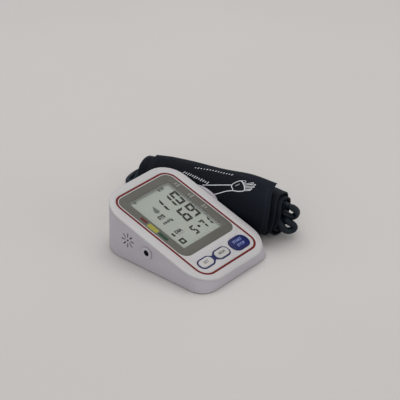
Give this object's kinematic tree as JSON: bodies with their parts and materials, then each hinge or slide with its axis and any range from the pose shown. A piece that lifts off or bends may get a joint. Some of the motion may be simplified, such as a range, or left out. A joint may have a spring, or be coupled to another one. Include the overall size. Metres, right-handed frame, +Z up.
{
  "type": "digital upper-arm blood pressure monitor",
  "caption": "Digital blood pressure monitor with a sloped display, soft keys and a round start key, beside its rolled arm cuff with the air hose folded into the roll.",
  "frame": {"origin": "middle of the table face of the monitor and the rolled cuff together, without the air hose", "axes": "+X to the right across the monitor towards the cuff, +Y to the back, up the slope of the display, +Z up from the table"},
  "size_m": [0.1548, 0.1941, 0.0537],
  "materials": {
    "case_white": "fine matt moulded",
    "case_lavender": "fine matt moulded",
    "trim_red": "smooth",
    "bezel_grey": "satin",
    "lens_clear": "polished",
    "lcd_green": "smooth",
    "key_grey": "soft",
    "key_blue": "satin",
    "inner_plastic": "moulded",
    "part_black": "moulded",
    "board_green": "lacquered",
    "nickel": "nickel plated",
    "grey_rubber": "matt",
    "jack_lavender": "moulded",
    "cell_sleeve": "plain sleeve",
    "cuff_cloth": "woven nylon",
    "hose_dark": "satin"
  },
  "bodies": {
    "monitor": {"lower_case": "case_lavender", "upper_case": "case_white", "red_trim_ring": "trim_red", "display_bezel": "bezel_grey", "display_lens": "lens_clear", "lcd_panel": "lcd_green", "lcd_holder": "inner_plastic", "zebra_strip": "grey_rubber", "button_trim": "key_blue", "set_switch": "part_black", "memory_switch": "part_black", "start_stop_switch": "part_black", "main_pcb": "board_green", "main_chip": "part_black", "pressure_sensor": "part_black", "usb_socket": "nickel", "pcb_screw_1": "nickel", "pcb_screw_2": "nickel", "air_jack": "jack_lavender", "air_pump": "part_black", "pump_motor": "nickel", "pump_sleeve": "grey_rubber", "exhaust_valve": "part_black", "air_manifold": "inner_plastic", "pump_tube": "grey_rubber", "valve_tube": "grey_rubber", "jack_tube": "grey_rubber", "sensor_tube": "grey_rubber", "speaker": "part_black", "battery_1": "cell_sleeve", "battery_2": "cell_sleeve", "battery_3": "cell_sleeve", "battery_4": "cell_sleeve", "battery_contact_1": "nickel", "battery_contact_2": "nickel", "battery_contact_3": "nickel", "battery_contact_4": "nickel", "battery_contact_5": "nickel", "foot_front_left": "grey_rubber", "foot_front_right": "grey_rubber", "foot_back_left": "grey_rubber", "foot_back_right": "grey_rubber", "case_screw_1": "nickel", "case_screw_2": "nickel", "case_screw_3": "nickel", "case_screw_4": "nickel"},
    "set_key": {"set_button": "key_grey", "set_plunger": "part_black"},
    "memory_key": {"memory_button": "key_grey", "memory_plunger": "part_black"},
    "start_stop_key": {"start_stop_button": "key_blue", "start_stop_plunger": "part_black"},
    "battery_door": {"battery_cover": "case_lavender"},
    "cuff": {"cuff_roll": "cuff_cloth", "hose_gland": "hose_dark", "air_hose": "hose_dark", "air_plug": "hose_dark"}
  },
  "joints": [
    {"name": "press_set", "type": "slide", "parent": "monitor", "child": "set_key", "axis": [0, 0.284, -0.9588], "range_m": [0, 0.0008], "stiffness_N_per_m": 600},
    {"name": "press_memory", "type": "slide", "parent": "monitor", "child": "memory_key", "axis": [0, 0.284, -0.9588], "range_m": [0, 0.0008], "stiffness_N_per_m": 600},
    {"name": "press_start_stop", "type": "slide", "parent": "monitor", "child": "start_stop_key", "axis": [0, 0.284, -0.9588], "range_m": [0, 0.0008], "stiffness_N_per_m": 600},
    {"name": "slide_battery_cover", "type": "slide", "parent": "monitor", "child": "battery_door", "axis": [0, 1, 0], "range_m": [0, 0.06]},
    {"name": "lift_cuff", "type": "slide", "parent": "monitor", "child": "cuff", "axis": [0.5, 0, 0.866], "range_m": [0, 0.1]}
  ]
}
